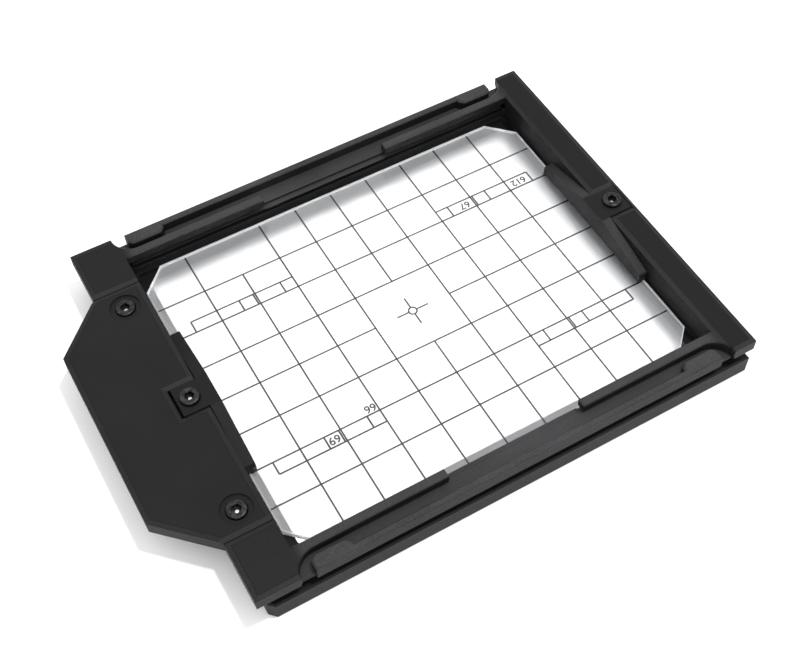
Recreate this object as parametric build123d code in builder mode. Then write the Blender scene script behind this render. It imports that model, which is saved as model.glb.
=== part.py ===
"""Ruled focusing-glass carrier for a 4x5 inch camera back.

Frame of the model: millimetres, +Z up, +X away from the grip plate, origin on the seating face
under the middle of the window. The front long side is -Y and the rear long side is +Y.
"""
import os

from build123d import *

# ---------------------------------------------------------------- driving dimensions
# Heights above the seating face
TOP = 14.2                 # top of the grip plate, corner blocks and rails
FLANGE_TOP = 6.7           # lower edge of the side grooves
BASE_TOP = 9.4             # parting plane between the base and the upper parts
GLASS_SEAT = 4.83          # distance from the seating face to the ground surface
GLASS_THICKNESS = 2.0
SLOT_GAP = 0.2             # room between the base and the plate of a lock bar
RAIL_BOTTOM = 11.4         # underside of the rails, above the plates of the lock bars
PLATE_THICKNESS = 1.2      # plate of a lock bar

# Base
BASE_LEFT = -74.6
BASE_RIGHT = 71.6
HALF_WIDTH = 60.3          # both long sides of the flange, blocks and lock bars
CORE_HALF_WIDTH = 57.0     # bottom of the side grooves
BASE_CORNER_CUT = 1.8      # slanted left corners of the flange
WINDOW_SIZE = (120.4, 95.4)
POCKET_SIZE = (125.6, 101.6)
OPENING_SIZE = (127.25, 103.2)  # the pocket widens just below the top of the glass
OPENING_CENTER_X = -0.225       # its short walls are flush with the upper parts
EDGE_RELIEF = (62.5, 52.8, 8.5)  # step along the long inner edges: half length, width, height

# Glass
GLASS_SIZE = (125.0, 101.0)
GLASS_CORNER_CUT = 7.3

# Upper parts
FRAME_LEFT = -77.4
FRAME_RIGHT = 72.0
OPENING_X = 63.4           # inner face of the right bar
LEFT_OPENING_X = -63.85    # inner face of the grip plate and left blocks
RAIL_INNER = 51.6
RAIL_OUTER = 54.2
RAIL_END = 20.4            # free ends of the four rails
NOTCH_CENTER_X = 58.9      # centre of the round finger notch in each corner
NOTCH_RADIUS = 6.1
SEAM = 42.7                # end faces of the left blocks, beside the grip plate
SEAM_GAP = 0.2
EDGE_BEVEL = (1.3, 0.15)   # very shallow bevel round the top edges: across and down
INNER_BEVEL = (1.3, 0.4)   # the same along the inner edge of the right bar
SEAM_BEVEL = (1.4, 0.5)    # the same along seams and clip pockets
FOOT_CHAMFER = 0.9         # lower outer edges of the upper parts
BAR_FOOT_CHAMFER = 0.5     # lower outer edge of each lock bar
FLOOR_CHAMFER = 0.2        # edges that rest on the seating face
RAIL_CHAMFER = 0.4
SMALL_CHAMFER = 0.5

# Grip plate
GRIP_LEFT = -91.7
GRIP_LEFT_HALF = 28.3

# Lock bars
BAR_TRAVEL = 1.6
BAR_END = 65.0
WALL_INNER = 58.2          # upright wall along the outer edge
TAB_INNER = 56.0           # thicker finger tab at each end of the wall
TAB_START = 49.8
TAB_END = 61.0
TAB_FILLET = 2.0           # round outer corner of each tab
TAB_BEVEL = 1.5            # slanted inner corner of each tab
LIP_STEP = 53.25           # step down to the thin lip along the inner edge
LIP_THICKNESS = 0.4
LIP_INSET = 0.3            # the lip is set back where it lies under a rail
LIP_END = 62.3
BAR_EDGE_INSET = 1.0       # past the tabs the plate is narrower than the wall
GUIDE_RIB = (12.0, 1.0)    # rib under the plate: length and width
GUIDE_RIB_CENTER = (36.0, 55.5)
GUIDE_DEPTH = 1.1

# Glass clips
CLIP_REACH = 60.3          # inner edge of each clip, over the glass
CLIP_OUTER = {"left": 63.55, "right": 63.2}
CLIP_HALF_LENGTH = 24.4
CLIP_END_TOP = 9.9
CLIP_TOP = 14.1
CLIP_CREST_HALF = 5.0
CLIP_FOOT = 3.0            # length that rests on the glass at each end
CLIP_ARCH = 0.3            # rise of the arms between the two feet
TAB_HALF_WIDTH = 4.7
CLIP_TAB_END = 70.9
CLIP_TAB_BOTTOM = 10.8     # the tab lies in a pocket with a floor
CLIP_POCKET_HALF = 4.9
CLIP_POCKET_END = {"left": -71.65, "right": 71.2}
CLIP_SCREW_X = 67.25

# M3 hardware
SCREW_RADIUS = 1.48
CLEARANCE_RADIUS = 1.7
HEAD_RADIUS = 2.75
HEAD_HEIGHT = 3.0
HEX_ACROSS_FLATS = 2.5
HEX_DEPTH = 1.5
SHORT_SCREW = 6.0
CLIP_HEAD_SEAT = 12.0
GRIP_HEAD_SEAT = 11.4
GRIP_RECESS = (4.35, 0.5)  # shallow round recess around a grip screw: radius and depth
GRIP_SCREW_AT = (-70.65, 35.75)
INSERT_RADIUS = 2.1
INSERT_BORE = 1.5
BASE_INSERT_LENGTH = 5.0
TOP_INSERT_LENGTH = 3.6
COUNTERSINK_RADIUS = 3.1
FLAT_HEAD_RADIUS = 2.9
FRAME_SCREW_LENGTH = 12.0
FRAME_SCREW_SINK = 0.2
FIT = 0.02                 # room around each pressed insert

LEFT_BLOCK_SCREWS = [(-69.5, 54.0), (-72.0, 46.5)]
RIGHT_FRAME_SCREWS = [(68.0, 54.0), (68.0, 28.0), (68.0, -28.0), (68.0, -54.0)]

# ---------------------------------------------------------------- sizes worked out from those
GLASS_TOP = GLASS_SEAT + GLASS_THICKNESS
PLATE_BOTTOM = BASE_TOP + SLOT_GAP
PLATE_TOP = PLATE_BOTTOM + PLATE_THICKNESS

os.makedirs("parts", exist_ok=True)


def save(part, name):
    """Label one finished piece and write its STEP file."""
    part.label = name
    export_step(part, f"parts/{name}.step")


def span(x_range, y_range, z_range, mode=Mode.ADD):
    """A block between two X, two Y and two Z values, added to the open part."""
    ranges = (x_range, y_range, z_range)
    with Locations(tuple((low + high) / 2 for low, high in ranges)):
        Box(*(high - low for low, high in ranges), mode=mode)


def cut(x_range, y_range, z_range):
    """The same block, taken away from the open part."""
    span(x_range, y_range, z_range, mode=Mode.SUBTRACT)


def on_side(side, low, high):
    """A Y range on the rear (+1) or front (-1) half."""
    return (low, high) if side > 0 else (-high, -low)


def cylinder_cut(x, y, radius, low, high):
    """A round hole between two heights."""
    with Locations((x, y, (low + high) / 2)):
        Cylinder(radius, high - low, mode=Mode.SUBTRACT)


# ---------------------------------------------------------------- base
with BuildPart() as base_frame:
    cut_x = BASE_LEFT + BASE_CORNER_CUT
    cut_y = HALF_WIDTH - BASE_CORNER_CUT
    with BuildSketch():
        with BuildLine():
            Polyline(
                (BASE_RIGHT, -HALF_WIDTH), (BASE_RIGHT, HALF_WIDTH), (cut_x, HALF_WIDTH),
                (BASE_LEFT, cut_y), (BASE_LEFT, -cut_y), (cut_x, -HALF_WIDTH), close=True)
        make_face()
    extrude(amount=FLANGE_TOP)
    chamfer(base_frame.faces().sort_by(Axis.Z)[-1].edges(), SMALL_CHAMFER)
    span((BASE_LEFT + 1.0, BASE_RIGHT - 0.6), (-CORE_HALF_WIDTH, CORE_HALF_WIDTH),
         (FLANGE_TOP, BASE_TOP))
    with BuildSketch(Plane.XY.offset(GLASS_TOP - 0.3)):
        with Locations((OPENING_CENTER_X, 0)):
            RectangleRounded(*OPENING_SIZE, 1.0)
    extrude(amount=BASE_TOP - GLASS_TOP + 0.3, mode=Mode.SUBTRACT)
    with BuildSketch(Plane.XY.offset(GLASS_SEAT)):
        RectangleRounded(*POCKET_SIZE, 1.5)
    extrude(amount=GLASS_THICKNESS - 0.3, mode=Mode.SUBTRACT)
    with BuildSketch():
        RectangleRounded(*WINDOW_SIZE, 1.0)
    extrude(amount=GLASS_SEAT, mode=Mode.SUBTRACT)
    chamfer(base_frame.faces().sort_by(Axis.Z)[0].edges(), FLOOR_CHAMFER)
    for side in (-1, 1):
        cut((-EDGE_RELIEF[0], EDGE_RELIEF[0]), on_side(side, RAIL_INNER - 1, EDGE_RELIEF[1]),
            (EDGE_RELIEF[2], BASE_TOP))
        for end in (-1, 1):
            rib_x = end * GUIDE_RIB_CENTER[0]
            half = GUIDE_RIB[0] / 2 + 0.3
            outer = GUIDE_RIB_CENTER[1] + GUIDE_RIB[1] / 2 + 0.15
            inner = GUIDE_RIB_CENTER[1] - GUIDE_RIB[1] / 2 - BAR_TRAVEL - 0.15
            cut((rib_x - half, rib_x + half), on_side(side, inner, outer),
                (BASE_TOP - GUIDE_DEPTH, BASE_TOP))
    insert_low = BASE_TOP - BASE_INSERT_LENGTH - 0.5
    for x, y in [(GRIP_SCREW_AT[0], GRIP_SCREW_AT[1]), (GRIP_SCREW_AT[0], -GRIP_SCREW_AT[1]),
                 (-CLIP_SCREW_X, 0), (CLIP_SCREW_X, 0)]:
        cylinder_cut(x, y, INSERT_RADIUS + FIT, insert_low, BASE_TOP)
    left_screws = [(x, side * y) for x, y in LEFT_BLOCK_SCREWS for side in (-1, 1)]
    for x, y in left_screws + RIGHT_FRAME_SCREWS:
        with Locations(Location((x, y, 0), (180, 0, 0))):
            CounterSinkHole(CLEARANCE_RADIUS, COUNTERSINK_RADIUS, depth=BASE_TOP,
                            counter_sink_angle=90)
save(base_frame.part, "base_frame")


# ---------------------------------------------------------------- ground glass
with BuildPart() as ground_glass:
    with BuildSketch(Plane.XY.offset(GLASS_SEAT)) as glass_outline:
        Rectangle(*GLASS_SIZE)
        chamfer(glass_outline.vertices(), GLASS_CORNER_CUT)
    extrude(amount=GLASS_THICKNESS)
    chamfer(ground_glass.faces().sort_by(Axis.Z)[-1].edges(), 0.2)
save(ground_glass.part, "ground_glass")


# ---------------------------------------------------------------- rails and corner notches
def rail(side, toward):
    """One rail on the rear or front side, from its free end towards a corner (+1 right)."""
    x_range = tuple(sorted((toward * RAIL_END, toward * (NOTCH_CENTER_X + 2))))
    span(x_range, on_side(side, RAIL_INNER, RAIL_OUTER), (RAIL_BOTTOM, TOP))


def corner_cuts(side, toward):
    """Room under a corner for the end of a lock bar, and the round finger notch."""
    pocket = tuple(sorted((toward * 40, toward * (BAR_END + 0.3))))
    cut(pocket, on_side(side, RAIL_INNER + 0.1, HALF_WIDTH + 1), (BASE_TOP, RAIL_BOTTOM))
    cylinder_cut(toward * NOTCH_CENTER_X, side * HALF_WIDTH, NOTCH_RADIUS, BASE_TOP, TOP)


def level_edges(part, test, height=TOP):
    """Level edges at a height whose centre passes a test."""
    edges = part.edges().filter_by_position(Axis.Z, height - 0.001, height + 0.001)
    return [edge for edge in edges if test(edge.center())]


def top_faces(part):
    """Level faces at the very top, from front to rear."""
    level = part.faces().filter_by(Plane.XY)
    return level.filter_by_position(Axis.Z, TOP - 0.001, TOP + 0.001).sort_by(Axis.Y)


def bevel(part, size, test):
    """Shallow bevel on the edges of each top face whose centre passes a test."""
    for index in range(len(top_faces(part))):
        face = top_faces(part)[index]
        edges = [edge for edge in face.edges() if test(edge.center())]
        if edges:
            chamfer(edges, length=size[0], length2=size[1], reference=face)


# ---------------------------------------------------------------- right top frame
with BuildPart() as right_top_frame:
    span((OPENING_X, FRAME_RIGHT), (-HALF_WIDTH, HALF_WIDTH), (BASE_TOP, TOP))
    for side in (-1, 1):
        rail(side, 1)
        span((NOTCH_CENTER_X, OPENING_X), on_side(side, RAIL_INNER, HALF_WIDTH),
             (RAIL_BOTTOM, TOP))
        corner_cuts(side, 1)
    chamfer(level_edges(right_top_frame, lambda c: c.X < OPENING_X - 0.1
                        and 51 < abs(c.Y) < 57), RAIL_CHAMFER)
    bevel(right_top_frame, INNER_BEVEL, lambda c: abs(c.X - OPENING_X) < 0.1 and abs(c.Y) < 20)
    bevel(right_top_frame, EDGE_BEVEL, lambda c: c.X > FRAME_RIGHT - 1 or abs(c.Y) > 60)
    chamfer(level_edges(right_top_frame, lambda c: c.X > FRAME_RIGHT - 0.1
                        or (abs(c.Y) > 60.2 and c.X > OPENING_X), BASE_TOP), FOOT_CHAMFER)
    cut((OPENING_X - 1, CLIP_POCKET_END["right"]), (-CLIP_POCKET_HALF, CLIP_POCKET_HALF),
        (CLIP_TAB_BOTTOM, TOP))
    bevel(right_top_frame, SEAM_BEVEL, lambda c: abs(abs(c.Y) - CLIP_POCKET_HALF) < 0.1)
    cylinder_cut(CLIP_SCREW_X, 0, CLEARANCE_RADIUS, BASE_TOP, TOP)
    for x, y in RIGHT_FRAME_SCREWS:
        cylinder_cut(x, y, INSERT_RADIUS + FIT, BASE_TOP, BASE_TOP + TOP_INSERT_LENGTH)
save(right_top_frame.part, "right_top_frame")


# ---------------------------------------------------------------- left corner blocks
def left_corner_block(side):
    """Corner block with its rail, on the rear (+1) or front (-1) side."""
    with BuildPart() as block:
        span((FRAME_LEFT, LEFT_OPENING_X), on_side(side, SEAM, HALF_WIDTH), (BASE_TOP, TOP))
        span((LEFT_OPENING_X, -NOTCH_CENTER_X), on_side(side, RAIL_INNER, HALF_WIDTH),
             (RAIL_BOTTOM, TOP))
        rail(side, -1)
        corner_cuts(side, -1)
        chamfer(level_edges(block, lambda c: c.X > LEFT_OPENING_X + 0.5
                            and 51 < abs(c.Y) < 57), RAIL_CHAMFER)
        bevel(block, EDGE_BEVEL, lambda c: c.X < FRAME_LEFT + 0.5 or abs(c.Y) > 60)
        bevel(block, SEAM_BEVEL, lambda c: abs(abs(c.Y) - SEAM) < 0.1)
        chamfer(level_edges(block, lambda c: c.X < FRAME_LEFT + 0.1
                            or (abs(c.Y) > 60.2 and c.X < LEFT_OPENING_X), BASE_TOP),
                FOOT_CHAMFER)
        for x, y in LEFT_BLOCK_SCREWS:
            cylinder_cut(x, side * y, INSERT_RADIUS + FIT, BASE_TOP,
                         BASE_TOP + TOP_INSERT_LENGTH)
    return block.part


save(left_corner_block(1), "rear_left_corner_block")
save(left_corner_block(-1), "front_left_corner_block")


# ---------------------------------------------------------------- grip plate
with BuildPart() as grip_plate:
    grip_end = SEAM - SEAM_GAP
    with BuildSketch(Plane.XY.offset(BASE_TOP)):
        with BuildLine():
            Polyline(
                (LEFT_OPENING_X, -grip_end), (LEFT_OPENING_X, grip_end),
                (FRAME_LEFT, grip_end), (GRIP_LEFT, GRIP_LEFT_HALF),
                (GRIP_LEFT, -GRIP_LEFT_HALF), (FRAME_LEFT, -grip_end), close=True)
        make_face()
    extrude(amount=TOP - BASE_TOP)
    bevel(grip_plate, EDGE_BEVEL, lambda c: c.X < FRAME_LEFT - 1)
    bevel(grip_plate, SEAM_BEVEL, lambda c: abs(abs(c.Y) - grip_end) < 0.1)
    chamfer(level_edges(grip_plate, lambda c: c.X < FRAME_LEFT - 1, BASE_TOP), SMALL_CHAMFER)
    cut((CLIP_POCKET_END["left"], LEFT_OPENING_X + 1), (-CLIP_POCKET_HALF, CLIP_POCKET_HALF),
        (CLIP_TAB_BOTTOM, TOP))
    bevel(grip_plate, SEAM_BEVEL, lambda c: abs(abs(c.Y) - CLIP_POCKET_HALF) < 0.1
          or abs(c.X - CLIP_POCKET_END["left"]) < 0.1)
    bevel(grip_plate, EDGE_BEVEL, lambda c: abs(c.X - LEFT_OPENING_X) < 0.1)
    for side in (-1, 1):
        x, y = GRIP_SCREW_AT[0], side * GRIP_SCREW_AT[1]
        cylinder_cut(x, y, GRIP_RECESS[0], TOP - GRIP_RECESS[1], TOP)
        cylinder_cut(x, y, HEAD_RADIUS + 0.15, GRIP_HEAD_SEAT, TOP)
        cylinder_cut(x, y, CLEARANCE_RADIUS, BASE_TOP, TOP)
    cylinder_cut(-CLIP_SCREW_X, 0, CLEARANCE_RADIUS, BASE_TOP, TOP)
save(grip_plate.part, "grip_plate")


# ---------------------------------------------------------------- glass clips
def glass_clip(toward):
    """Spring clip on the left (-1) or right (+1) edge of the glass."""
    outer = CLIP_OUTER["left" if toward < 0 else "right"]
    with BuildPart() as clip:
        with BuildSketch(Plane.YZ.offset(min(toward * CLIP_REACH, toward * outer))):
            with BuildLine():
                foot = CLIP_HALF_LENGTH - CLIP_FOOT
                Polyline(
                    (foot, GLASS_TOP), (CLIP_HALF_LENGTH, GLASS_TOP),
                    (CLIP_HALF_LENGTH, CLIP_END_TOP), (CLIP_CREST_HALF, CLIP_TOP),
                    (-CLIP_CREST_HALF, CLIP_TOP), (-CLIP_HALF_LENGTH, CLIP_END_TOP),
                    (-CLIP_HALF_LENGTH, GLASS_TOP), (-foot, GLASS_TOP))
                ThreePointArc((-foot, GLASS_TOP), (0, GLASS_TOP + CLIP_ARCH), (foot, GLASS_TOP))
            make_face()
        extrude(amount=outer - CLIP_REACH)
        arm_ends = clip.edges().filter_by(Axis.X).filter_by(
            lambda e: abs(abs(e.center().Y) - CLIP_HALF_LENGTH) < 0.1 and e.center().Z > 9)
        fillet(arm_ends, 1.2)
        x_range = tuple(sorted((toward * CLIP_REACH, toward * CLIP_TAB_END)))
        span(x_range, (-TAB_HALF_WIDTH, TAB_HALF_WIDTH), (CLIP_TAB_BOTTOM, CLIP_TOP))
        x = toward * CLIP_SCREW_X
        cylinder_cut(x, 0, HEAD_RADIUS + 0.1, CLIP_HEAD_SEAT, CLIP_TOP)
        cylinder_cut(x, 0, CLEARANCE_RADIUS, CLIP_TAB_BOTTOM, CLIP_TOP)
    return clip.part


save(glass_clip(-1), "left_glass_clip")
save(glass_clip(1), "right_glass_clip")


# ---------------------------------------------------------------- lock bars
def lock_bar(side):
    """Sliding lock bar in the rear (+1) or front (-1) channel."""
    wall = on_side(side, WALL_INNER, HALF_WIDTH)
    with BuildPart() as bar:
        span((-TAB_END, TAB_END), on_side(side, LIP_STEP, HALF_WIDTH),
             (PLATE_BOTTOM, PLATE_TOP))
        span((-TAB_END, TAB_END), wall, (PLATE_BOTTOM, TOP - 0.1))
        span((-LIP_END, LIP_END), on_side(side, RAIL_INNER + LIP_INSET, LIP_STEP),
             (PLATE_BOTTOM, PLATE_BOTTOM + LIP_THICKNESS))
        span((-RAIL_END + 0.3, RAIL_END - 0.3), on_side(side, RAIL_INNER, LIP_STEP),
             (PLATE_BOTTOM, PLATE_BOTTOM + LIP_THICKNESS))
        for end in (-1, 1):
            span(tuple(sorted((end * TAB_END, end * LIP_END))),
                 on_side(side, LIP_STEP, HALF_WIDTH - BAR_EDGE_INSET), (PLATE_BOTTOM, PLATE_TOP))
            span(tuple(sorted((end * LIP_END, end * BAR_END))),
                 on_side(side, RAIL_INNER + BAR_TRAVEL + 0.4, HALF_WIDTH - BAR_EDGE_INSET),
                 (PLATE_BOTTOM, PLATE_TOP))
            span(tuple(sorted((end * TAB_START, end * TAB_END))),
                 on_side(side, TAB_INNER, HALF_WIDTH), (PLATE_BOTTOM, TOP - 0.1))
            rib_x, rib_y = end * GUIDE_RIB_CENTER[0], GUIDE_RIB_CENTER[1]
            span((rib_x - GUIDE_RIB[0] / 2, rib_x + GUIDE_RIB[0] / 2),
                 on_side(side, rib_y - GUIDE_RIB[1] / 2, rib_y + GUIDE_RIB[1] / 2),
                 (BASE_TOP - GUIDE_DEPTH + 0.1, PLATE_BOTTOM))
        tab_corners = bar.edges().filter_by(Axis.Z).filter_by(
            lambda e: abs(abs(e.center().Y) - TAB_INNER) < 0.1 and e.center().Z > PLATE_TOP)
        fillet([e for e in tab_corners if abs(e.center().X) > TAB_END - 0.1], TAB_FILLET)
        chamfer([e for e in tab_corners if abs(e.center().X) < TAB_START + 0.1], TAB_BEVEL)
        chamfer(level_edges(bar, lambda c: True, TOP - 0.1), SMALL_CHAMFER)
        chamfer(level_edges(bar, lambda c: abs(c.Y) > HALF_WIDTH - 0.1, PLATE_BOTTOM),
                BAR_FOOT_CHAMFER)
    return bar.part


save(lock_bar(1), "rear_lock_bar")
save(lock_bar(-1), "front_lock_bar")


# ---------------------------------------------------------------- M3 screws
def socket_screw(x, y, seat):
    """Socket-head cap screw standing on its seat."""
    with BuildPart() as screw:
        with BuildSketch(Plane.XY.offset(seat)):
            with Locations((x, y)):
                Circle(HEAD_RADIUS)
        extrude(amount=HEAD_HEIGHT)
        fillet(screw.faces().sort_by(Axis.Z)[-1].edges(), 0.5)
        with BuildSketch(Plane.XY.offset(seat - SHORT_SCREW)):
            with Locations((x, y)):
                Circle(SCREW_RADIUS)
        extrude(amount=SHORT_SCREW)
        with BuildSketch(Plane.XY.offset(seat + HEAD_HEIGHT - HEX_DEPTH)):
            with Locations((x, y)):
                RegularPolygon(HEX_ACROSS_FLATS / 2, 6, major_radius=False)
        extrude(amount=HEX_DEPTH, mode=Mode.SUBTRACT)
    return screw.part


save(socket_screw(GRIP_SCREW_AT[0], GRIP_SCREW_AT[1], GRIP_HEAD_SEAT), "rear_grip_screw")
save(socket_screw(GRIP_SCREW_AT[0], -GRIP_SCREW_AT[1], GRIP_HEAD_SEAT), "front_grip_screw")
save(socket_screw(-CLIP_SCREW_X, 0, CLIP_HEAD_SEAT), "left_clip_screw")
save(socket_screw(CLIP_SCREW_X, 0, CLIP_HEAD_SEAT), "right_clip_screw")


def flat_screws(places):
    """Countersunk screws driven upwards from the underside."""
    head_depth = FLAT_HEAD_RADIUS - SCREW_RADIUS
    with BuildPart() as screws:
        for x, y in places:
            with BuildSketch(Plane.XY.offset(FRAME_SCREW_SINK)):
                with Locations((x, y)):
                    Circle(SCREW_RADIUS)
            extrude(amount=FRAME_SCREW_LENGTH)
            with BuildSketch(Plane.XY.offset(FRAME_SCREW_SINK)):
                with Locations((x, y)):
                    Circle(FLAT_HEAD_RADIUS)
            extrude(amount=head_depth, taper=45)
            with BuildSketch(Plane.XY.offset(FRAME_SCREW_SINK)):
                with Locations((x, y)):
                    RegularPolygon(1.0, 6, major_radius=False)
            extrude(amount=1.2, mode=Mode.SUBTRACT)
    return screws.part


# ---------------------------------------------------------------- threaded inserts
def inserts(places, low, length):
    """Brass inserts with a waist between two collars."""
    with BuildPart() as group:
        for x, y in places:
            with BuildSketch(Plane.XY.offset(low)):
                with Locations((x, y)):
                    Circle(INSERT_RADIUS)
                    Circle(INSERT_BORE, mode=Mode.SUBTRACT)
            extrude(amount=length)
            with BuildSketch(Plane.XY.offset(low + 0.4 * length)):
                with Locations((x, y)):
                    Circle(INSERT_RADIUS + 0.1)
                    Circle(INSERT_RADIUS - 0.3, mode=Mode.SUBTRACT)
            extrude(amount=0.2 * length, mode=Mode.SUBTRACT)
    return group.part


base_low = BASE_TOP - BASE_INSERT_LENGTH
save(inserts([GRIP_SCREW_AT], base_low, BASE_INSERT_LENGTH), "rear_grip_insert")
save(inserts([(GRIP_SCREW_AT[0], -GRIP_SCREW_AT[1])], base_low, BASE_INSERT_LENGTH),
     "front_grip_insert")
save(inserts([(-CLIP_SCREW_X, 0)], base_low, BASE_INSERT_LENGTH), "left_clip_insert")
save(inserts([(CLIP_SCREW_X, 0)], base_low, BASE_INSERT_LENGTH), "right_clip_insert")

frame_joints = {
    "rear_left_block": LEFT_BLOCK_SCREWS,
    "front_left_block": [(x, -y) for x, y in LEFT_BLOCK_SCREWS],
    "right_frame": RIGHT_FRAME_SCREWS,
}
for name, places in frame_joints.items():
    save(flat_screws(places), f"{name}_screws")
    save(inserts(places, BASE_TOP, TOP_INSERT_LENGTH), f"{name}_inserts")
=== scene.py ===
import math

import bpy
import bmesh
from mathutils import Matrix, Vector


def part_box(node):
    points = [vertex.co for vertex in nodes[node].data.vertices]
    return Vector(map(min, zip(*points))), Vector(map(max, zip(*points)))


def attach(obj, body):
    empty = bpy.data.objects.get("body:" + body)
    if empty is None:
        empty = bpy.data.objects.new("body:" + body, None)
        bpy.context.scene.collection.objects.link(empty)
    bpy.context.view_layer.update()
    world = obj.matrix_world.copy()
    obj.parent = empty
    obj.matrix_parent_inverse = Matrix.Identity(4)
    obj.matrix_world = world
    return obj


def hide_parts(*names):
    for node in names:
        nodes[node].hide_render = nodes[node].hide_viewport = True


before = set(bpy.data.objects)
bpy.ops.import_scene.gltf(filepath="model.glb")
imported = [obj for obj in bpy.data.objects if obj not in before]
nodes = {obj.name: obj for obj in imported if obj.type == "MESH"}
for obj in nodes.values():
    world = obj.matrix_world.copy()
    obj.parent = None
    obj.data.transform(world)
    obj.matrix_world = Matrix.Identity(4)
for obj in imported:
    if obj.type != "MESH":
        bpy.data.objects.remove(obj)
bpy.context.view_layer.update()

MM = 0.001
scene = bpy.context.scene


# ------------------------------------------------------------------ small helpers
def add_object(name, mesh, material):
    """A new piece in the row frame, on the carrier's body."""
    piece = bpy.data.objects.new(name, mesh)
    scene.collection.objects.link(piece)
    piece.data.materials.append(material)
    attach(piece, "carrier")
    return piece


class Shader:
    """A node material built up with short calls."""

    def __init__(self, name):
        self.material = bpy.data.materials.new(name)
        self.material.use_nodes = True
        self.tree = self.material.node_tree
        self.tree.nodes.clear()
        self.output = self.tree.nodes.new("ShaderNodeOutputMaterial")

    def node(self, kind, **values):
        made = self.tree.nodes.new(kind)
        for key, value in values.items():
            setattr(made, key, value)
        return made

    def link(self, source, target):
        self.tree.links.new(source, target)

    def math(self, operation, first, second=None, third=None):
        made = self.node("ShaderNodeMath", operation=operation)
        for index, value in enumerate((first, second, third)):
            if value is None:
                continue
            if isinstance(value, (int, float)):
                made.inputs[index].default_value = value
            else:
                self.link(value, made.inputs[index])
        return made.outputs[0]

    def along(self, x, y, degrees):
        """Distance along a direction in the XY plane."""
        turn = math.radians(degrees)
        return self.math("ADD", self.math("MULTIPLY", x, math.cos(turn)),
                         self.math("MULTIPLY", y, math.sin(turn)))

    def float_mix(self, factor, first, second):
        made = self.node("ShaderNodeMix", data_type="FLOAT")
        self.link(factor, made.inputs["Factor"])
        for index, value in ((2, first), (3, second)):
            if isinstance(value, (int, float)):
                made.inputs[index].default_value = value
            else:
                self.link(value, made.inputs[index])
        return made.outputs[0]

    def ramp(self, source, low, high):
        """Smooth step from 0 to 1 between two values."""
        made = self.node("ShaderNodeMapRange", interpolation_type="SMOOTHSTEP")
        self.link(source, made.inputs["Value"])
        made.inputs["From Min"].default_value = low
        made.inputs["From Max"].default_value = high
        return made.outputs["Result"]

    def noise(self, vector, scale, detail=3.0):
        made = self.node("ShaderNodeTexNoise")
        self.link(vector, made.inputs["Vector"])
        made.inputs["Scale"].default_value = scale
        made.inputs["Detail"].default_value = detail
        made.inputs["Roughness"].default_value = 0.55
        return made.outputs[0]

    def colour_mix(self, factor, first, second):
        made = self.node("ShaderNodeMix", data_type="RGBA")
        self.link(factor, made.inputs["Factor"])
        for index, value in ((6, first), (7, second)):
            if isinstance(value, tuple):
                made.inputs[index].default_value = (*value, 1.0)
            else:
                self.link(value, made.inputs[index])
        return made.outputs[2]

    def finish(self, shader):
        self.link(shader, self.output.inputs["Surface"])
        return self.material


# ------------------------------------------------------------------ materials
LEVEL_TONE = 0.0045        # level faces with crossed beads
RAIL_SHEEN_TONE = 0.028          # level faces with beads along X, paler as a painted sheen
WALL_TONE = 0.009          # upright faces, paler than level faces as painted light
BEAD = 0.45                # width of one printed bead, mm
LAYER = 0.2                # height of one printed layer, mm


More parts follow.
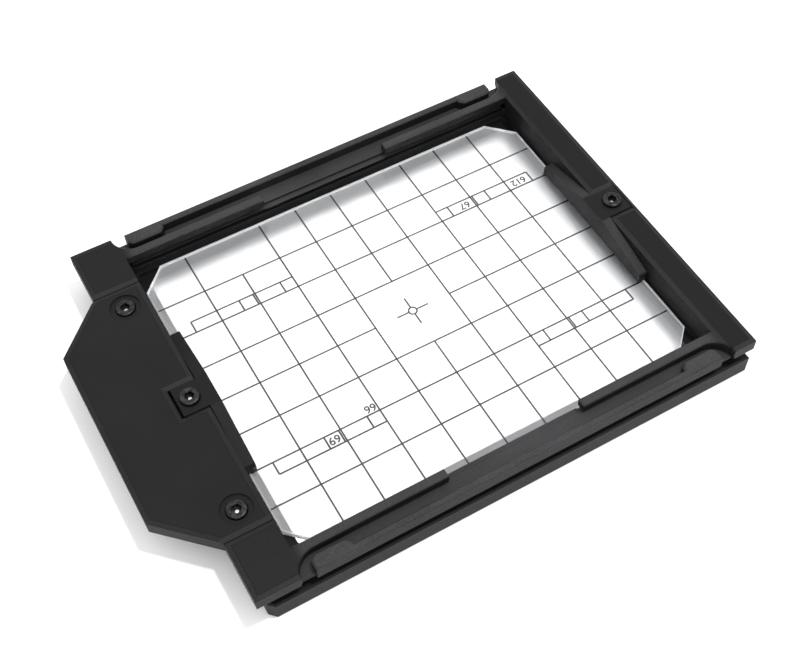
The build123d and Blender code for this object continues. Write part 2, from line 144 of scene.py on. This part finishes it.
def printed_plastic(name, tone, line_turn, perimeter=(), edge_sheen_tone=0.0, rail_half=0.0,
                    pocket=None, slope_light_tone=None):
    """Matte black printed plastic: beads on level faces, layer lines on the walls.

    The beads run at line_turn degrees from X. Near a perimeter, given as half planes (direction
    in degrees, distance in mm), they follow the edge and are paler by edge_sheen_tone, a painted
    sheen, and so they are round a clip pocket, given as its end and half width. Within rail_half
    of the middle they run along X and take the rails' paler tone, a painted sheen. Gently sloping
    faces may have a paler tone of their own, which is painted light.
    """
    s = Shader(name)
    place = s.node("ShaderNodeTexCoord").outputs["Object"]
    parts = s.node("ShaderNodeSeparateXYZ")
    s.link(place, parts.inputs[0])
    x, y, z = parts.outputs
    facing = s.node("ShaderNodeSeparateXYZ")
    s.link(s.node("ShaderNodeNewGeometry").outputs["True Normal"], facing.inputs[0])
    upright = s.math("ABSOLUTE", facing.outputs[2])
    level = s.ramp(upright, 0.5, 0.68)

    across = s.along(x, y, line_turn + 90)
    level_tone = tone
    seam = None
    if perimeter:
        inset = None
        for direction, distance in perimeter:
            gap = s.math("SUBTRACT", distance * MM, s.along(x, y, direction))
            inset = gap if inset is None else s.math("MINIMUM", inset, gap)
        if pocket:
            end, half_width = (v * MM for v in pocket)
            past_end = s.math("SUBTRACT", s.math("MULTIPLY", x, math.copysign(1, end)), abs(end))
            past_side = s.math("SUBTRACT", s.math("ABSOLUTE", y), half_width)
            inset = s.math("MINIMUM", inset, s.math("MAXIMUM", past_end, past_side))
        band = s.math("LESS_THAN", inset, 1.35 * MM)
        across = s.float_mix(band, across, inset)
        # painted sheen: bands along the perimeter are paler by the edge tone
        level_tone = s.math("ADD", tone, s.math("MULTIPLY", band, edge_sheen_tone))
        seam = s.math("COMPARE", inset, 1.45 * MM, 0.13 * MM)
    if rail_half:
        out = s.math("ABSOLUTE", x)
        across = s.float_mix(s.math("LESS_THAN", out, rail_half * MM), across, y)
        beyond = s.ramp(out, (rail_half - 1.5) * MM, (rail_half + 2.0) * MM)
        # painted sheen: the rail zone takes the paler rail tone
        level_tone = s.float_mix(beyond, RAIL_SHEEN_TONE, level_tone)
    if slope_light_tone is not None:
        # painted light: gently sloping faces take a paler tone of their own
        level_tone = s.float_mix(s.ramp(upright, 0.98, 0.995), slope_light_tone, level_tone)
    wobble = s.math("MULTIPLY", s.noise(place, 60.0), 0.00012)
    across = s.math("ADD", across, wobble)
    beads = s.math("SINE", s.math("MULTIPLY", across, 2 * math.pi / (BEAD * MM)))
    layers = s.math("SINE", s.math("MULTIPLY", z, 2 * math.pi / (LAYER * MM)))
    grooves = s.float_mix(level, layers, beads)
    grain = s.noise(place, 2600.0)
    height = s.math("ADD", s.math("MULTIPLY", grooves, 0.6), s.math("MULTIPLY", grain, 1.2))

    round_edge = s.node("ShaderNodeBevel", samples=4)
    round_edge.inputs["Radius"].default_value = 0.2 * MM
    bump = s.node("ShaderNodeBump")
    bump.inputs["Strength"].default_value = 0.45
    bump.inputs["Distance"].default_value = 0.03 * MM
    s.link(height, bump.inputs["Height"])
    s.link(round_edge.outputs[0], bump.inputs["Normal"])

    # painted light: upright faces take the paler WALL_TONE, level faces the level tone
    base = s.float_mix(level, WALL_TONE, level_tone)
    speckle = s.math("ADD", 1.0, s.math("MULTIPLY", grooves, 0.2))
    speckle = s.math("ADD", speckle, s.math("MULTIPLY", s.math("SUBTRACT", grain, 0.5), 2.0))
    worn = s.math("MULTIPLY", s.math("SUBTRACT", s.noise(place, 45.0), 0.5), 1.2)
    shade = s.math("MULTIPLY", base, s.math("MAXIMUM", s.math("ADD", speckle, worn), 0.1))
    if seam is not None:
        shade = s.math("MULTIPLY", shade, s.math("SUBTRACT", 1.0, s.math("MULTIPLY", seam, 0.7)))
    colour = s.node("ShaderNodeCombineColor")
    for channel, warmth in enumerate((1.0, 1.0, 1.05)):
        s.link(s.math("MULTIPLY", shade, warmth), colour.inputs[channel])
    principled = s.node("ShaderNodeBsdfPrincipled")
    s.link(colour.outputs[0], principled.inputs["Base Color"])
    s.link(s.math("ADD", s.math("MULTIPLY", grain, 0.2), 0.4), principled.inputs["Roughness"])
    s.link(bump.outputs[0], principled.inputs["Normal"])
    principled.inputs["Specular IOR Level"].default_value = 0.15
    return s.finish(principled.outputs[0])


def machined_metal(name, colour, worn, roughness, glint_spots=()):
    """Turned or blackened metal with small scratches and a painted glint, pale metal 0.5 mm around
    spots in XY.
    """
    s = Shader(name)
    place = s.node("ShaderNodeTexCoord").outputs["Object"]
    bloom = s.noise(place, 900.0, detail=4.0)
    scratches = s.noise(place, 5200.0, detail=2.0)
    principled = s.node("ShaderNodeBsdfPrincipled")
    tint = s.colour_mix(s.ramp(bloom, 0.35, 0.75), colour, worn)
    parts = s.node("ShaderNodeSeparateXYZ")
    s.link(place, parts.inputs[0])
    for spot_x, spot_y in glint_spots:
        away = s.math("ADD", s.math("POWER", s.math("SUBTRACT", parts.outputs[0], spot_x * MM), 2),
                      s.math("POWER", s.math("SUBTRACT", parts.outputs[1], spot_y * MM), 2))
        # painted glint: pale metal within 0.5 mm of each spot
        glint = s.math("LESS_THAN", away, (0.5 * MM) ** 2)
        tint = s.colour_mix(glint, tint, (0.75, 0.73, 0.7))
    s.link(tint, principled.inputs["Base Color"])
    s.link(s.math("ADD", s.math("MULTIPLY", scratches, 0.2), roughness - 0.1),
           principled.inputs["Roughness"])
    round_edge = s.node("ShaderNodeBevel", samples=4)
    round_edge.inputs["Radius"].default_value = 0.15 * MM
    bump = s.node("ShaderNodeBump")
    bump.inputs["Strength"].default_value = 0.15
    bump.inputs["Distance"].default_value = 0.02 * MM
    s.link(scratches, bump.inputs["Height"])
    s.link(round_edge.outputs[0], bump.inputs["Normal"])
    s.link(bump.outputs[0], principled.inputs["Normal"])
    principled.inputs["Metallic"].default_value = 1.0
    return s.finish(principled.outputs[0])


def ground_glass(name, low, high):
    """Clear glass with a finely ground lower face and ground edges, which lets lamps through."""
    s = Shader(name)
    place = s.node("ShaderNodeTexCoord").outputs["Object"]
    parts = s.node("ShaderNodeSeparateXYZ")
    s.link(place, parts.inputs[0])
    facing = s.node("ShaderNodeSeparateXYZ")
    s.link(s.node("ShaderNodeNewGeometry").outputs["True Normal"], facing.inputs[0])
    level = s.math("GREATER_THAN", s.math("ABSOLUTE", facing.outputs[2]), 0.9)
    below = s.math("LESS_THAN", parts.outputs[2], (low + high) / 2)
    lower = s.math("MULTIPLY", level, below)
    edge = s.math("SUBTRACT", 1.0, level)
    grain = s.noise(place, 3000.0)
    rough = s.math("ADD", s.math("MULTIPLY", lower, 0.58), s.math("MULTIPLY", edge, 0.45))
    rough = s.math("ADD", rough, s.math("MULTIPLY", s.math("MULTIPLY", lower, grain), 0.08))
    clear = s.node("ShaderNodeBsdfPrincipled")
    clear.inputs["Base Color"].default_value = (0.905, 0.91, 0.915, 1.0)
    clear.inputs["Transmission Weight"].default_value = 1.0
    clear.inputs["IOR"].default_value = 1.5
    s.link(s.math("ADD", rough, 0.01), clear.inputs["Roughness"])
    veil = s.node("ShaderNodeBsdfDiffuse")
    veil.inputs["Color"].default_value = (0.95, 0.96, 0.98, 1.0)
    body = s.node("ShaderNodeMixShader")
    amount = s.math("ADD", s.math("MULTIPLY", lower, 0.17), s.math("MULTIPLY", edge, 0.6))
    s.link(amount, body.inputs[0])
    s.link(clear.outputs[0], body.inputs[1])
    s.link(veil.outputs[0], body.inputs[2])
    lamp_way = s.node("ShaderNodeBsdfTransparent")
    lamp_way.inputs["Color"].default_value = (0.95, 0.95, 0.95, 1.0)
    whole = s.node("ShaderNodeMixShader")
    s.link(s.node("ShaderNodeLightPath").outputs["Is Shadow Ray"], whole.inputs[0])
    s.link(body.outputs[0], whole.inputs[1])
    s.link(lamp_way.outputs[0], whole.inputs[2])
    return s.finish(whole.outputs[0])


def ink(name):
    """Black ceramic ink, slightly broken."""
    s = Shader(name)
    place = s.node("ShaderNodeTexCoord").outputs["Object"]
    specks = s.noise(place, 4000.0)
    principled = s.node("ShaderNodeBsdfPrincipled")
    s.link(s.colour_mix(specks, (0.004, 0.004, 0.005), (0.014, 0.014, 0.015)),
           principled.inputs["Base Color"])
    principled.inputs["Roughness"].default_value = 0.6
    return s.finish(principled.outputs[0])


def paper(name):
    """Matte white table paper."""
    s = Shader(name)
    place = s.node("ShaderNodeTexCoord").outputs["Object"]
    fibres = s.noise(place, 400.0, detail=5.0)
    principled = s.node("ShaderNodeBsdfPrincipled")
    s.link(s.colour_mix(fibres, (0.86, 0.86, 0.86), (0.88, 0.88, 0.88)),
           principled.inputs["Base Color"])
    principled.inputs["Roughness"].default_value = 0.9
    principled.inputs["Specular IOR Level"].default_value = 0.1
    return s.finish(principled.outputs[0])


# Tones per piece paint sheen and shade: beads along Y (clips, right bar) darker, the front block
# paler than the rear block, edge tones a paler sheen on perimeter bands and a painted highlight on
# the right bar's inner bevel, the right clip's slopes painted paler.
base_finish = printed_plastic("printed_black_base", LEVEL_TONE, 0)
along_x = printed_plastic("printed_black_along_x", RAIL_SHEEN_TONE, 0)
left_clip = printed_plastic("printed_black_left_clip", 0.003, 90)
right_clip = printed_plastic("printed_black_right_clip", 0.003, 90, slope_light_tone=0.018)
grip_finish = printed_plastic("printed_black_grip", LEVEL_TONE, 45, [
    (180, 91.7), (135, 84.84), (225, 84.84), (0, -63.85), (90, 42.5), (270, 42.5)], 0.004,
    pocket=(-71.65, 4.9))
rear_block = printed_plastic("printed_black_rear_block", LEVEL_TONE, 45, [
    (180, 77.4), (90, 60.3), (270, -42.7)], 0.004, rail_half=62.0)
front_block = printed_plastic("printed_black_front_block", 0.0065, -45, [
    (180, 77.4), (270, 60.3), (90, -42.7)], 0.005, rail_half=62.0)
right_finish = printed_plastic("printed_black_right", 0.002, 90, [
    (0, 72.0), (180, -63.4), (90, 60.3), (270, 60.3)], 0.009, rail_half=62.0, pocket=(71.2, 4.9))
# the spots paint a glint in each screw's socket
black_oxide = machined_metal("black_oxide_steel", (0.02, 0.02, 0.021), (0.06, 0.058, 0.056), 0.38,
                             [(-70.65, 35.75), (-70.65, -35.75), (-67.25, 0), (67.25, 0)])
brass = machined_metal("machined_brass", (0.72, 0.53, 0.24), (0.5, 0.35, 0.15), 0.3)

finishes = {
    "base_frame": base_finish,
    "right_top_frame": right_finish,
    "rear_left_corner_block": rear_block,
    "front_left_corner_block": front_block,
    "grip_plate": grip_finish,
    "rear_lock_bar": along_x,
    "front_lock_bar": along_x,
    "left_glass_clip": left_clip,
    "right_glass_clip": right_clip,
}
for name, piece in nodes.items():
    if name in finishes:
        material = finishes[name]
    elif name.endswith(("screw", "screws")):
        material = black_oxide
    else:
        material = brass
    if name != "ground_glass":
        piece.data.materials.clear()
        piece.data.materials.append(material)


# ------------------------------------------------------------------ glass plate
CORNER_CUT = 7.3
GLASS_ARRIS = 0.25
glass_low, glass_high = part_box("ground_glass")
GLASS_BOTTOM = glass_low[2] + 0.01 * MM
GLASS_TOP = glass_high[2]


def glass_ring(mesh, inset, height):
    """Cut-corner outline of the plate at one height."""
    x, y = glass_high[0] - inset * MM, glass_high[1] - inset * MM
    cut = (CORNER_CUT - inset * 0.59) * MM
    outline = [(x, -y + cut), (x, y - cut), (x - cut, y), (-x + cut, y),
               (-x, y - cut), (-x, -y + cut), (-x + cut, -y), (x - cut, -y)]
    return [mesh.verts.new((a, b, height)) for a, b in outline]


plate = bmesh.new()
arris = GLASS_ARRIS * MM
rings = [glass_ring(plate, GLASS_ARRIS, GLASS_BOTTOM), glass_ring(plate, 0, GLASS_BOTTOM + arris),
         glass_ring(plate, 0, GLASS_TOP - arris), glass_ring(plate, GLASS_ARRIS, GLASS_TOP)]
plate.faces.new(list(reversed(rings[0])))
plate.faces.new(rings[-1])
for low_ring, high_ring in zip(rings, rings[1:]):
    for i in range(8):
        j = (i + 1) % 8
        plate.faces.new((low_ring[i], low_ring[j], high_ring[j], high_ring[i]))
plate_mesh = bpy.data.meshes.new("glass_plate")
plate.to_mesh(plate_mesh)
plate.free()
glass_plate = add_object("glass_plate", plate_mesh,
                         ground_glass("ground_glass", GLASS_BOTTOM, GLASS_TOP))
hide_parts("ground_glass")


# ------------------------------------------------------------------ ruling printed on the glass
LINE = 0.52                        # width of a ruled line, mm
STEP = 12.0                        # distance between ruled lines
RULING_X, RULING_Y = 0.35, 0.2     # the ruling sits slightly off the middle of the window
INK_LOW = GLASS_BOTTOM + 0.01 * MM
INK_HIGH = INK_LOW + 0.03 * MM
HALF_X = glass_high[0] / MM - 0.3
HALF_Y = glass_high[1] / MM - 0.3


def clipped(fixed, half_along, half_across):
    """How far a line at that distance from the middle may run before a cut corner."""
    over = abs(fixed) - (half_across - CORNER_CUT)
    return half_along - max(0.0, over)


class Strokes:
    """Thin raised strokes collected in one mesh."""

    def __init__(self):
        self.mesh = bmesh.new()

    def prism(self, outline):
        """A closed outline in millimetres, raised by the ink's thickness."""
        rings = []
        for height in (INK_LOW, INK_HIGH):
            rings.append([self.mesh.verts.new((x * MM, y * MM, height)) for x, y in outline])
        low, high = rings
        self.mesh.faces.new(list(reversed(low)))
        self.mesh.faces.new(high)
        count = len(outline)
        for i in range(count):
            j = (i + 1) % count
            self.mesh.faces.new((low[i], low[j], high[j], high[i]))

    def line(self, start, end):
        start, end = Vector(start), Vector(end)
        along = (end - start).normalized()
        side = Vector((-along.y, along.x)) * LINE / 2
        self.prism([start - side, end - side, end + side, start + side])

    def ring(self, centre, radius, count=32):
        inner, outer = radius - LINE / 2, radius + LINE / 2
        corners = []
        for i in range(count):
            a = 2 * math.pi * i / count
            unit = Vector((math.cos(a), math.sin(a)))
            corners.append([self.mesh.verts.new((
                (centre[0] + unit.x * r) * MM, (centre[1] + unit.y * r) * MM, h))
                for r, h in ((inner, INK_LOW), (outer, INK_LOW), (outer, INK_HIGH),
                             (inner, INK_HIGH))])
        for i in range(count):
            here, there = corners[i], corners[(i + 1) % count]
            for k in range(4):
                m = (k + 1) % 4
                self.mesh.faces.new((here[k], there[k], there[m], here[m]))

    def to_mesh(self, name):
        bmesh.ops.recalc_face_normals(self.mesh, faces=self.mesh.faces)
        mesh = bpy.data.meshes.new(name)
        self.mesh.to_mesh(mesh)
        self.mesh.free()
        return mesh


def ruled_x(strokes, x, low=None, high=None):
    """A line along Y at x from the ruling's middle."""
    x += RULING_X
    reach = clipped(x, HALF_Y, HALF_X)
    low = -reach if low is None else low + RULING_Y
    high = reach if high is None else high + RULING_Y
    strokes.line((x, low), (x, high))


def ruled_y(strokes, y, low=None, high=None):
    """A line along X at y from the ruling's middle."""
    y += RULING_Y
    reach = clipped(y, HALF_X, HALF_Y)
    low = -reach if low is None else low + RULING_X
    high = reach if high is None else high + RULING_X
    strokes.line((low, y), (high, y))


strokes = Strokes()
for i in range(-4, 5):
    if i == 0:
        ruled_x(strokes, 0, high=-STEP)
        ruled_x(strokes, 0, low=STEP)
    elif i == -3:
        ruled_x(strokes, i * STEP, high=3 * STEP)
    else:
        ruled_x(strokes, i * STEP)
for j in range(-3, 4):
    if j == 0:
        ruled_y(strokes, 0, high=-STEP)
        ruled_y(strokes, 0, low=STEP)
    else:
        ruled_y(strokes, j * STEP)

# format bars: a strip in each quarter with its ticks
BAR_Y = (24.0, 28.0)
BAR_TICKS = (56.0, 41.0, 36.6, 28.0)
BAR_START = 24.0
for toward_x in (-1, 1):
    for toward_y in (-1, 1):
        near_y, far_y = (toward_y * y + RULING_Y for y in BAR_Y)
        strokes.line((toward_x * BAR_START + RULING_X, far_y),
                     (toward_x * BAR_TICKS[0] + RULING_X, far_y))
        for tick in BAR_TICKS:
            x = toward_x * tick + RULING_X
            strokes.line((x, near_y), (x, far_y))

# centre mark
MARK_RADIUS, MARK_REACH = 1.2, 5.0
middle = Vector((RULING_X, RULING_Y))
strokes.ring(middle, MARK_RADIUS)
for quarter in range(4):
    a = quarter * math.pi / 2
    unit = Vector((math.cos(a), math.sin(a)))
    strokes.line(middle + unit * (MARK_RADIUS + LINE / 2), middle + unit * MARK_REACH)

black_ink = ink("printed_ink")
ruling = add_object("glass_ruling", strokes.to_mesh("glass_ruling"), black_ink)


def numerals(name, text, centre, height):
    """Format numerals as flat solids, turned to be read from the rear side."""
    curve = bpy.data.curves.new(name, "FONT")
    curve.body = text
    curve.size = height / 0.7
    curve.align_x = "CENTER"
    curve.align_y = "CENTER"
    curve.extrude = (INK_HIGH - INK_LOW) / 2 / MM
    curve.offset = 0.06
    lettering = bpy.data.objects.new(name, curve)
    scene.collection.objects.link(lettering)
    bpy.context.view_layer.update()
    mesh = bpy.data.meshes.new_from_object(
        lettering.evaluated_get(bpy.context.evaluated_depsgraph_get()))
    bpy.data.objects.remove(lettering)
    place = Vector(((centre[0] + RULING_X) * MM, (centre[1] + RULING_Y) * MM,
                    (INK_LOW + INK_HIGH) / 2))
    mesh.transform(Matrix.Translation(place) @ Matrix.Rotation(math.pi, 4, "Z")
                   @ Matrix.Scale(MM, 4))
    mesh.materials.clear()
    add_object(name, mesh, black_ink)


numerals("numerals_66", "66", (-26.0, -22.2), 2.4)
numerals("numerals_69", "69", (-38.8, -26.0), 2.4)
numerals("numerals_67", "67", (33.0, 26.0), 2.3)
numerals("numerals_612", "612", (52.0, 26.0), 2.3)


# ------------------------------------------------------------------ floor, light and camera
def stage_plane(name, size, height, material):
    mesh = bpy.data.meshes.new(name)
    half = size / 2
    corners = [(-half, -half, height), (half, -half, height), (half, half, height),
               (-half, half, height)]
    mesh.from_pydata(corners, [], [(0, 1, 2, 3)])
    plane = bpy.data.objects.new(name, mesh)
    scene.collection.objects.link(plane)
    plane.data.materials.append(material)


stage_plane("floor", 6.0, -0.00005, paper("table_paper"))


def softbox(name, place, target, size, power):
    """A square area light aimed at a point."""
    lamp = bpy.data.lights.new(name, "AREA")
    lamp.shape = "RECTANGLE"
    lamp.size, lamp.size_y = size
    lamp.energy = power
    lamp_object = bpy.data.objects.new(name, lamp)
    lamp_object.location = place
    aim = Vector(target) - Vector(place)
    lamp_object.rotation_euler = aim.to_track_quat("-Z", "Y").to_euler()
    scene.collection.objects.link(lamp_object)


softbox("key_lamp", (0.275, -0.19, 1.29), (0, 0, 0), (0.065, 0.065), 8.5)

world = bpy.data.worlds.new("studio")
world.use_nodes = True
world.node_tree.nodes["Background"].inputs["Color"].default_value = (1.0, 1.0, 1.0, 1.0)
world.node_tree.nodes["Background"].inputs["Strength"].default_value = 1.38
scene.world = world

camera_data = bpy.data.cameras.new("camera")
camera_data.lens = 57.23
camera_data.sensor_width = 36.0
camera_data.clip_start, camera_data.clip_end = 0.01, 20.0
camera = bpy.data.objects.new("camera", camera_data)
camera.location = (-0.10367, -0.18398, 0.29598)
camera.rotation_euler = tuple(math.radians(a) for a in (35.523, 0.855, -29.651))
scene.collection.objects.link(camera)
scene.camera = camera

scene.view_settings.view_transform = "Standard"
scene.view_settings.look = "None"
